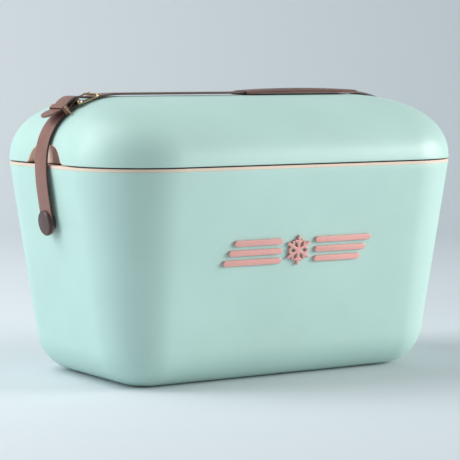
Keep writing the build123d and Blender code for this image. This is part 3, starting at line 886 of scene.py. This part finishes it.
# %% short half with its fold
# The layer that comes back: millimetres beyond the heel bar, and above the strap.
FOLD_RETURN = ((2.5, 5.9), (5.0, 4.6), (7.2, 3.6), (9.5, 3.35), (11.5, 3.3))
WRAP_STEPS = 14
heel = on_strap(HEEL_X, LOOP_R)
fold_line = [p for p in arch_line(MID, 0.23, HEEL_X + 0.0005)]
normal = (on_strap(HEEL_X, 1.0) - on_strap(HEEL_X, 0.0)).normalized()
start_angle = -pi / 2
wrap_radius = BAR_R + MID + 0.0001
forward = Vector((normal.y, -normal.x))
for step in range(1, WRAP_STEPS + 1):
    angle = start_angle + pi * step / WRAP_STEPS
    fold_line.append(heel + (forward * cos(angle) + normal * sin(angle)) * wrap_radius)
for beyond, lift in FOLD_RETURN:
    fold_line.append(on_strap(HEEL_X + beyond / 1000, lift / 1000))
upper = high_start + fold_line
short_half = ribbon("strap_short_half", upper, strap_leather)
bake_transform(short_half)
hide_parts("strap_left_upper")
print(short_half.name, len(short_half.data.polygons), "faces")

# %% [markdown]
# ## The long half
# The long half comes up from the right stud, crosses the lid under the shoulder pad, goes through
# the buckle under its front bar and over its heel bar, and its rounded tip lifts off the strap
# beyond the keeper.  Holes are punched for the prong.

# %% long half
TIP_ROUTE = (
    (215.5, 12.5),
    (209, 6.9),
    (204, 5.6),
    (198.5, 7.3),
    (191.5, 7.85),
    (183.5, 4.2),
    (174.5, 0.5),
    (170.5, 0.0),
    (165, 0.0),
    (160, 0.0),
    (156, 0.0),
)
tip_points = [on_strap(d / 1000, lift / 1000 + MID) for d, lift in TIP_ROUTE]
tip_first = tip_points[0] + Vector((-0.86, -0.51)) * 0.008
tip_line = smooth_line([tip_first] + tip_points, 9)
tip_line = end_dense(tip_line, STRAP_WIDTH / 2)
flat = [Vector((-x / 1000, CREST + CREST_GAP + MID)) for x in range(136, -137, -4)]
slope = [on_strap(d / 1000, MID) for d in (154, 150, 146, 142)]
right_arch = mirrored(arch_line(MID, 0.23, RIDGE + 0.001))
right_side = mirrored(high_start)
long_line = [p for p in tip_line if p.x < -0.1565] + slope + flat + right_arch + right_side
long_half = ribbon("strap_long_half", long_line, strap_leather, round_end(long_line))
print("long half", round(sum((b - a).length for a, b in zip(long_line, long_line[1:])), 3), "m")


# %% punched holes
def drill(item, spots, radius, stretch=0.0):
    """Punches round or slotted holes; a spot is (point, direction through, direction along)."""
    parts = []
    for point, through, along in spots:
        side = through.cross(along).normalized()
        ring = []
        for index in range(28):
            angle = 2 * pi * index / 28
            shift = along * (stretch / 2 * (1 if cos(angle) > 0 else -1))
            ring.append(point + along * (radius * cos(angle)) + side * (radius * sin(angle)) + shift)
        low = [p - through * 0.006 for p in ring]
        high = [p + through * 0.006 for p in ring]
        faces = ring_faces([low, high], closed=True) + [tuple(range(28)), tuple(range(28, 56))]
        parts.append(tidy_mesh(mesh_of("punch", low + high, faces)))
    cutter = piece("cutter", join(parts), strap_leather)
    modify(item, "BOOLEAN", operation="DIFFERENCE", object=cutter, solver="EXACT")
    settle(item, 50)
    bpy.data.objects.remove(cutter)


SLOT_AT, SLOT_R, SLOT_STRETCH = 0.008, 0.0026, 0.0188  # the prong's slot, from the heel bar
HOLE_FIRST, HOLE_PITCH, HOLE_COUNT, HOLE_R = 0.144, 0.012, 5, 0.0017
front = on_strap(FRONT_X, STRAP_THICK + 0.0005 + 0.0015)
bar_space = (front - heel).length
along_frame = Vector((front.x - heel.x, 0, front.y - heel.y)).normalized()
up_frame = Vector((-along_frame.z, 0, along_frame.x))
heel_point = Vector((heel.x, 0, heel.y))
slot_middle = heel_point + along_frame * SLOT_AT
drill(long_half, [(slot_middle, up_frame, along_frame)], SLOT_R, SLOT_STRETCH)
holes = []
for index in range(HOLE_COUNT):
    distance = HOLE_FIRST - HOLE_PITCH * index
    spot = on_strap(distance, MID)
    before, after = (on_strap(distance + step, MID) for step in (0.001, -0.001))
    way = Vector((after.x - before.x, 0, after.y - before.y)).normalized()
    holes.append((Vector((spot.x, 0, spot.y)), Vector((-way.z, 0, way.x)), way))
drill(long_half, holes, HOLE_R)
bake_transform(long_half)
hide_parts("strap_right_top", "strap_tip")
print(long_half.name, len(long_half.data.polygons), "faces")

# %% [markdown]
# ## Brass
# The buckle is plated brass: warm, mostly smooth, with hairline scratches and duller patches
# where fingers and leather have rubbed it.

# %% brass finish
def brass_finish():
    """Brass with fine scratches and duller patches."""
    material, tree = new_finish("buckle_brass_metal")
    where = tree.add("ShaderNodeTexCoord", output="Object")
    turned = tree.add("ShaderNodeMapping", {}, {"Vector": where, "Scale": (1.0, 9.0, 1.0)})
    lines = noise(tree, turned, 900.0, 3.0, 0.7)
    patches = noise(tree, where, 210.0, 4.0, 0.6)
    shade = blend_colors(tree, patches, srgb(168, 140, 104), srgb(212, 188, 150))
    gloss = patches * 0.2 + 0.12 + lines * 0.08
    return close_finish(material, tree, shade, gloss, lines, 0.000012, Metallic=1.0)


brass = brass_finish()

# %% buckle frame and heel bar
FRAME_WIDTH, RAIL, RAIL_DROP = 0.0346, 0.0026, 0.0019
rail_y = FRAME_WIDTH / 2 - RAIL / 2
half_frame = [(0.0, -rail_y, -0.0008), (0.0012, -rail_y, -RAIL_DROP * 0.8)]
for share in (0.12, 0.3, 0.5, 0.7, 0.84):
    half_frame.append((bar_space * share, -rail_y, -RAIL_DROP))
half_frame += [(bar_space - 0.0022, -rail_y, -RAIL_DROP * 0.75)]
half_frame += [(bar_space - 0.0006, -rail_y + 0.0004, -RAIL_DROP * 0.3)]
half_frame += [(bar_space, -rail_y + 0.0018, 0.0), (bar_space, -rail_y + 0.005, 0.0)]
outline = half_frame + [(u, -v, w) for u, v, w in reversed(half_frame)]
outline = smooth_line([outline[0]] + outline + [outline[-1]], 4)
frame_line = [heel_point + along_frame * u + Vector((0, v, 0)) + up_frame * w for u, v, w in outline]
frame_mesh = sweep(frame_line, oval(RAIL, 0.0019, 3.0), [up_frame] * len(frame_line))
bar_profile = [(0.0, -0.0193), (0.0014, -0.0192), (0.0023, -0.0187), (0.0026, -0.0180)]
bar_profile += [(0.0025, -0.0172), (0.0016, -0.0169)]
bar_profile = bar_profile + [(r, -y) for r, y in reversed(bar_profile)]
bar_mesh = lathe(bar_profile, heel_point, (0, 1, 0), 32)
buckle = piece("buckle_rails_and_bar", join([frame_mesh, bar_mesh]), brass)
place(buckle, "strap_left_high", "buckle_brass", "buckle_frame")

# %% prong
HUB_R, HUB_STEPS, SHAFT_STEPS = 0.00245, 28, 15
hub_angles = [2 * pi * step / HUB_STEPS for step in range(HUB_STEPS)]
hub_ring = [heel_point + (along_frame * cos(a) + up_frame * sin(a)) * HUB_R for a in hub_angles]
hub = sweep(hub_ring, oval(0.0014, 0.0028, 2.6, 14), [Vector((0, 1, 0))] * HUB_STEPS, closed=True)
shaft_line, shaft_scale = [], []
for step in range(SHAFT_STEPS):
    share = step / (SHAFT_STEPS - 1)
    lift = 0.0026 - 0.0007 * share
    shaft_line.append(heel_point + along_frame * (0.0012 + (bar_space - 0.0004) * share) + up_frame * lift)
    shaft_scale.append((1.0 - 0.35 * share) * (1.0 if share < 1.0 else 0.45))
shaft = sweep(shaft_line, oval(0.0027, 0.0018, 2.4, 16), [up_frame] * SHAFT_STEPS, shaft_scale)
prong = piece("buckle_prong_pin", join([hub, shaft]), brass)
place(prong, "prong", "buckle_brass", "buckle_prong")

# %% keeper, its wires and the rivet
keeper_in, keeper_out = on_strap(KEEPER_X, 0.0), on_strap(KEEPER_X, 1.0)
keeper_up = Vector((keeper_out.x - keeper_in.x, 0, keeper_out.y - keeper_in.y)).normalized()
keeper_way = Vector((keeper_up.z, 0, -keeper_up.x))
keeper_origin = Vector((keeper_in.x, 0, keeper_in.y))
room = 2 * STRAP_THICK + 0.0002 + 0.0044
half_y, low_up, high_up = STRAP_WIDTH / 2 + 0.0012, -0.0007, room + 0.0003
LOOP_ROUND = 0.0015
loop_line = []
loop_corners = ((half_y, high_up, 0), (-half_y, high_up, 90), (-half_y, low_up, 180), (half_y, low_up, 270))
for cy, cu, begin in loop_corners:
    inner_y = cy - LOOP_ROUND * (1 if cy > 0 else -1)
    inner_u = cu - LOOP_ROUND * (1 if cu == high_up else -1)
    for step in range(6):
        angle = radians(begin + 90 * step / 5)
        loop_line.append((inner_y + LOOP_ROUND * cos(angle), inner_u + LOOP_ROUND * sin(angle)))
loop_points = [keeper_origin + Vector((0, y, 0)) + keeper_up * u for y, u in loop_line]
loop_mesh = sweep(loop_points, oval(0.001, 0.006, 4.0, 16), [keeper_way] * len(loop_points), closed=True)
loop_mesh.uv_layers.new(name="strap")
for uv in loop_mesh.uv_layers["strap"].data:
    uv.uv = (0.0, 0.5)
keeper = piece("keeper_leather_loop", loop_mesh, strap_leather)
place(keeper, "strap_left_high", "strap_leather", "keeper_loop")

wires = []
for side in (-1, 1):
    top = keeper_origin + Vector((0, side * (half_y + 0.0023), 0)) + keeper_up * (room - 0.0009)
    foot = keeper_origin + Vector((0, side * (half_y + 0.0063), 0)) - keeper_up * 0.0002
    span = (foot - top).length
    ball = [(0.00108 * sin(pi * k / 12), -0.00108 * cos(pi * k / 12)) for k in range(7)]
    profile = ball + [(0.0009, 0.0009), (0.0009, span - 0.0009)]
    profile += [(r, span - along) for r, along in reversed(ball)]
    wires.append(lathe(profile, top, foot - top, 20))
place(piece("keeper_side_wires", join(wires), brass), "strap_left_high", "buckle_brass", "keeper_wires")

RIVET_X = 0.1984
rivet_in, rivet_out = on_strap(RIVET_X, 0.0), on_strap(RIVET_X, 1.0)
rivet_up = (rivet_out.x - rivet_in.x, 0, rivet_out.y - rivet_in.y)
rivet_profile = [(0.0, -0.0008), (0.0012, -0.0007), (0.0019, -0.0003), (0.0022, 0.0), (0.0010, 0.0001)]
rivet_profile += [(0.0010, 0.0043), (0.0022, 0.0044), (0.0019, 0.0048), (0.0012, 0.0051), (0.0, 0.0052)]
rivet = piece("fold_rivet_heads", lathe(rivet_profile, (rivet_in.x, 0, rivet_in.y), rivet_up, 32), brass)
place(rivet, "strap_left_high", "buckle_brass", "fold_rivet")

# %% [markdown]
# ## Studs
# Each strap end is held by a turned stud: a spacer against the wall and a domed brown cap.

# %% stud caps and spacers
stud_brown = plastic("stud_brown_plastic", srgb(76, 53, 49), 0.34, stipple=0.00003, drift=0.12, scuffs=0.5)
CAP_FROM = STUD_GAP + STRAP_THICK
# Radius and height above the strap, in millimetres: a rim, a shallow groove and a low dome.
CAP_SHAPE = ((0, 0), (12.4, 0), (12.9, 0.5), (13, 1.8), (12.75, 2.7), (12, 3.5), (10.9, 3.9))
CAP_SHAPE += ((10.4, 3.8), (10, 3.8), (6, 4.2), (0, 4.3))
cap_profile = [(radius / 1000, CAP_FROM + rise / 1000) for radius, rise in CAP_SHAPE]
spacer_profile = [(0.0, 0.0), (0.0080, 0.0), (0.0077, 0.0006), (0.0070, 0.0021)]
spacer_profile += [(0.0076, STUD_GAP - 0.0004), (0.0078, STUD_GAP), (0.0, STUD_GAP)]
caps, spacers = [], []
for side in (-1, 1):
    middle = wall_point(SEAM - STUD_DROP, 0.0)
    centre = (-side * middle.x, 0, middle.y)
    axis = (side * cos(DRAFT), 0, -sin(DRAFT))
    caps.append(lathe(cap_profile, centre, axis, 64))
    spacers.append(lathe(spacer_profile, centre, axis, 48))
place(piece("stud_cap_domes", join(caps), stud_brown, 35), "chest", "stud_brown", "stud_caps")
place(piece("stud_spacer_rings", join(spacers), stud_brown, 35), "chest", "stud_brown", "stud_spacers")

# %% [markdown]
# ## The shoulder pad
# The pad is a padded leather sleeve that slides on the strap.  A crowned ring section is carried
# along it: flat below, arched above, thin at its right nose and open at its left end, where the
# strap goes in.

# %% pad sleeve
PAD_START, PAD_END, PAD_HALF = 0.010, 0.156, 0.019
PAD_LOW = CREST + 0.00025
STRAP_TOP = CREST + CREST_GAP + STRAP_THICK
CHANNEL_HALF, CHANNEL_LOW, CHANNEL_HIGH = 0.01275, CREST + 0.00125, STRAP_TOP + 0.0002
CHANNEL_EDGE = 0.0013  # how much the channel narrows at its two sides


def pad_section(share):
    """Outer and inner ring of (across, height) for a place from 0 at the left to 1 at the nose."""
    nose = max(share - 0.78, 0.0) / 0.22
    tail = max(0.06 - share, 0.0) / 0.06
    half = PAD_HALF - 0.0048 * nose**1.6 - 0.0012 * tail**2
    arch = sin(pi * min(max(share * 1.02, 0.0), 1.0)) ** 0.7
    top = STRAP_TOP + 0.0012 + 0.0022 * arch * (1 - 0.2 * nose) - 0.0002 * tail
    low = PAD_LOW + 0.0004 * nose
    outer = []
    for step in range(25):
        y = half * cos(pi * step / 24)
        crown = (1 - abs(cos(pi * step / 24)) ** 3.2) ** 0.55
        outer.append((y, low + 0.0012 + (top - low - 0.0012) * crown))
    for step in range(1, 24):
        y = -half * cos(pi * step / 24)
        belly = (1 - abs(cos(pi * step / 24)) ** 8) ** 0.5
        outer.append((y, low + 0.0012 * (1 - belly)))
    inner = []
    for step in range(25):
        share_y = cos(pi * step / 24)
        edge = 0.0 if abs(share_y) < 0.93 else CHANNEL_EDGE
        inner.append((CHANNEL_HALF * max(-1, min(1, share_y * 1.25)), CHANNEL_HIGH - edge))
    for step in range(1, 24):
        share_y = -cos(pi * step / 24)
        edge = 0.0 if abs(share_y) < 0.93 else CHANNEL_EDGE
        inner.append((CHANNEL_HALF * max(-1, min(1, share_y * 1.25)), CHANNEL_LOW + edge))
    return outer, inner


outer_rings, inner_rings = [], []
for step in range(57):
    share = step / 56
    x = PAD_START + (PAD_END - PAD_START) * share
    outer, inner = pad_section(share)
    outer_rings.append([(x, y, z) for y, z in outer])
    inner_rings.append([(x, y, z) for y, z in inner])
size = len(outer_rings[0])
points = [p for ring in outer_rings + inner_rings for p in ring]
faces = ring_faces(outer_rings, closed=True)
offset = size * len(outer_rings)
for face in ring_faces(inner_rings, closed=True):
    faces.append(tuple(corner + offset for corner in reversed(face)))
for ring_index in (0, len(outer_rings) - 1):
    base = ring_index * size
    for column in range(size):
        a, b = base + column, base + (column + 1) % size
        faces.append((a, b, b + offset, a + offset))
pad_mesh = mesh_of("pad", points, faces)
layer = pad_mesh.uv_layers.new(name="strap")
for loop in pad_mesh.loops:
    spot = pad_mesh.vertices[loop.vertex_index].co
    # The sides take the leather's real dark edge paint; the underside takes the same dark colour as painted
    # shade under the pad, so rim is 1 on both.
    edge_or_painted_underside = abs(spot.y) > PAD_HALF * 0.985 or spot.z < PAD_LOW + 0.0011
    rim = 1.0 if edge_or_painted_underside else abs(spot.y) / PAD_HALF * 0.9
    layer.data[loop.index].uv = (spot.x, rim * 0.5 + 0.5)
pad = piece("shoulder_pad_sleeve", tidy_mesh(pad_mesh), pad_leather, 50)
place(pad, "shoulder_pad", "pad_leather", "pad_cover", "pad_back")

# %% [markdown]
# ## Stitches
# Stitches repeat along a line, so Geometry Nodes set them: the line is cut into equal steps, a
# small thread bead is put at each step and turned along the line, and a seed gives each a slightly
# different lean.

# %% thread finish and stitch rule
def thread_finish():
    """Waxed thread: fine twist across each stitch."""
    material, tree = new_finish("waxed_thread")
    where = tree.add("ShaderNodeTexCoord", output="Object")
    bands = {"Vector": where, "Scale": 900.0, "Distortion": 1.5}
    twist = tree.add("ShaderNodeTexWave", {"wave_type": "BANDS"}, bands)
    soil = noise(tree, where, 180.0, 3.0)
    shade = blend_colors(tree, twist * 0.5 + soil * 0.5, srgb(120, 84, 70), srgb(186, 142, 120))
    return close_finish(material, tree, shade, soil * 0.2 + 0.5, twist, 0.00008)


thread = thread_finish()
stitch_rule = new_rule("stitch row", {"Pitch": "Float", "Length": "Float", "Thick": "Float", "Seed": "Int"})
sizes = stitch_rule.add("NodeGroupInput")
curve = stitch_rule.add("GeometryNodeMeshToCurve", {}, {"Mesh": sizes.out("Geometry")})
equal = {"Curve": curve, "Length": sizes.out("Pitch")}
spaced = stitch_rule.add("GeometryNodeResampleCurve", {"mode": "LENGTH"}, equal)
bead = stitch_rule.add("GeometryNodeMeshUVSphere", {}, {"Segments": 8, "Rings": 6, "Radius": 0.5})
thick, long = sizes.out("Thick"), sizes.out("Length")
bead_size = stitch_rule.add("ShaderNodeCombineXYZ", {}, {0: thick, 1: thick, 2: long})
tangent = stitch_rule.add("GeometryNodeInputTangent")
along_line = stitch_rule.add("FunctionNodeAlignRotationToVector", {"axis": "Z"}, {"Vector": tangent})
LEAN = 0.06  # largest lean of a stitch, in radians
span = {0: (-LEAN,) * 3, 1: (LEAN,) * 3, "Seed": sizes.out("Seed")}
lean = stitch_rule.add("FunctionNodeRandomValue", {"data_type": "FLOAT_VECTOR"}, span)
turned = {"Rotation": along_line, "Rotate By": lean}
leaned = stitch_rule.add("FunctionNodeRotateRotation", {"rotation_space": "LOCAL"}, turned)
on_points = {"Points": spaced, "Instance": bead, "Rotation": leaned, "Scale": bead_size}
beads = stitch_rule.add("GeometryNodeInstanceOnPoints", {}, on_points)
close_rule(stitch_rule, beads, thread)
print("stitch rule has", len(stitch_rule.tree.nodes), "nodes")

# %% pad stitches
STITCH_IN = 0.0026
edge_points, edge_edges = [], []
for side in (-1, 1):
    first = len(edge_points)
    for step in range(41):
        share = 0.03 + 0.9 * step / 40
        outer, _ = pad_section(share)
        x = PAD_START + (PAD_END - PAD_START) * share
        half = max(y for y, z in outer) - STITCH_IN
        above = outer[:25]
        for (y1, z1), (y0, z0) in zip(above, above[1:]):
            if y0 <= half <= y1:
                height = z0 + (z1 - z0) * (half - y0) / (y1 - y0)
                break
        edge_points.append((x, side * half, height + 0.0001))
    edge_edges += [(index, index + 1) for index in range(first, len(edge_points) - 1)]
row = bpy.data.meshes.new("stitch line")
row.from_pydata(edge_points, edge_edges, [])
stitch_mesh = grow(stitch_rule, row, {"Pitch": 0.0042, "Length": 0.0031, "Thick": 0.0008, "Seed": 7})
stitches = piece("pad_edge_stitches", stitch_mesh, thread)
place(stitches, "shoulder_pad", "pad_leather")

# %% [markdown]
# ## Floor, light and camera
# A pale floor runs into a curved backdrop, so there is no horizon line, and the backdrop's colour
# carries painted shade that darkens it towards the right.  Three broad lights make the soft studio
# look: a cool one from the left that whitens the end wall, a large one from the right that fades
# across the front, and a weaker one high up behind that softens the shadows.

# %% floor and backdrop
CAMERA_AT = Vector((-1.13816, -1.78277, 0.32639))
CAMERA_WAY = Vector((0.53543, 0.84032, -0.08467))
ground = Vector((CAMERA_WAY.x, CAMERA_WAY.y, 0)).normalized()
across = Vector((ground.y, -ground.x, 0))
profile = [(-5.0, 0.0), (0.0, 0.0), (1.6, 0.0)]
profile += [(1.6 + 1.6 * sin(a), 1.6 - 1.6 * cos(a)) for a in (pi / 2 * k / 24 for k in range(1, 25))]
profile += [(3.2, 6.0)]
rings = [[ground * u + across * v + Vector((0, 0, h)) for v in (-7, -3.5, 0, 3.5, 7)] for u, h in profile]
studio = mesh_of("studio", [p for ring in rings for p in ring], ring_faces(rings))


def paper_finish():
    """Matte backdrop paper whose colour darkens slowly towards one side, as painted shade for the lights'
    fall-off.
    """
    material, tree = new_finish("backdrop_paper_painted_shade")
    where = tree.add("ShaderNodeTexCoord", output="Object")
    apart = tree.add("ShaderNodeSeparateXYZ", {}, {0: where})
    side = apart.out("X") * across.x + apart.out("Y") * across.y
    fibre = noise(tree, where, 300.0, 3.0)
    # Painted shade: the paper's colour darkens towards the camera's right.
    painted_shade_fade = ((side + 1.0) / 2.4).clamped()
    shade = blend_colors(tree, painted_shade_fade, srgb(230, 236, 239), srgb(178, 190, 195))
    return close_finish(material, tree, shade, fibre * 0.1 + 0.75, fibre, 0.00003)


backdrop = piece("studio_backdrop", studio, paper_finish())


# %% lights
def softbox(name, where, target, size_x, size_y, watts, color):
    light = bpy.data.lights.new(name, "AREA")
    light.shape, light.size, light.size_y = "RECTANGLE", size_x, size_y
    light.energy, light.color = watts, color
    item = bpy.data.objects.new(name, light)
    collection.objects.link(item)
    item.location = where
    item.rotation_euler = (Vector(target) - Vector(where)).to_track_quat("-Z", "Y").to_euler()
    return item


softbox("left_window", (-2.3, 1.1, 1.2), (-0.2, 0, 0.12), 1.8, 1.8, 44, (0.94, 0.98, 1.0))
softbox("right_bank", (2.4, -1.6, 0.85), (0.1, 0, 0.14), 2.0, 1.1, 86, (1.0, 0.985, 0.97))
softbox("top_sky", (-1.3, 0.9, 2.3), (0, 0, 0), 1.8, 1.8, 34, (0.97, 0.99, 1.0))
world = bpy.data.worlds.new("studio_air")
world.use_nodes = True
world.node_tree.nodes["Background"].inputs["Color"].default_value = (0.86, 0.90, 0.93, 1.0)
world.node_tree.nodes["Background"].inputs["Strength"].default_value = 0.36
bpy.context.scene.world = world
bpy.context.scene.view_settings.view_transform = "Standard"

# %% camera
lens = bpy.data.cameras.new("studio_camera")
lens.lens, lens.sensor_width = 154.5, 36.0
lens.clip_start, lens.clip_end = 0.05, 60.0
camera = bpy.data.objects.new("studio_camera", lens)
collection.objects.link(camera)
camera.location = CAMERA_AT
camera.rotation_euler = CAMERA_WAY.to_track_quat("-Z", "Y").to_euler()
bpy.context.scene.camera = camera
print("camera", [round(v, 3) for v in camera.location])
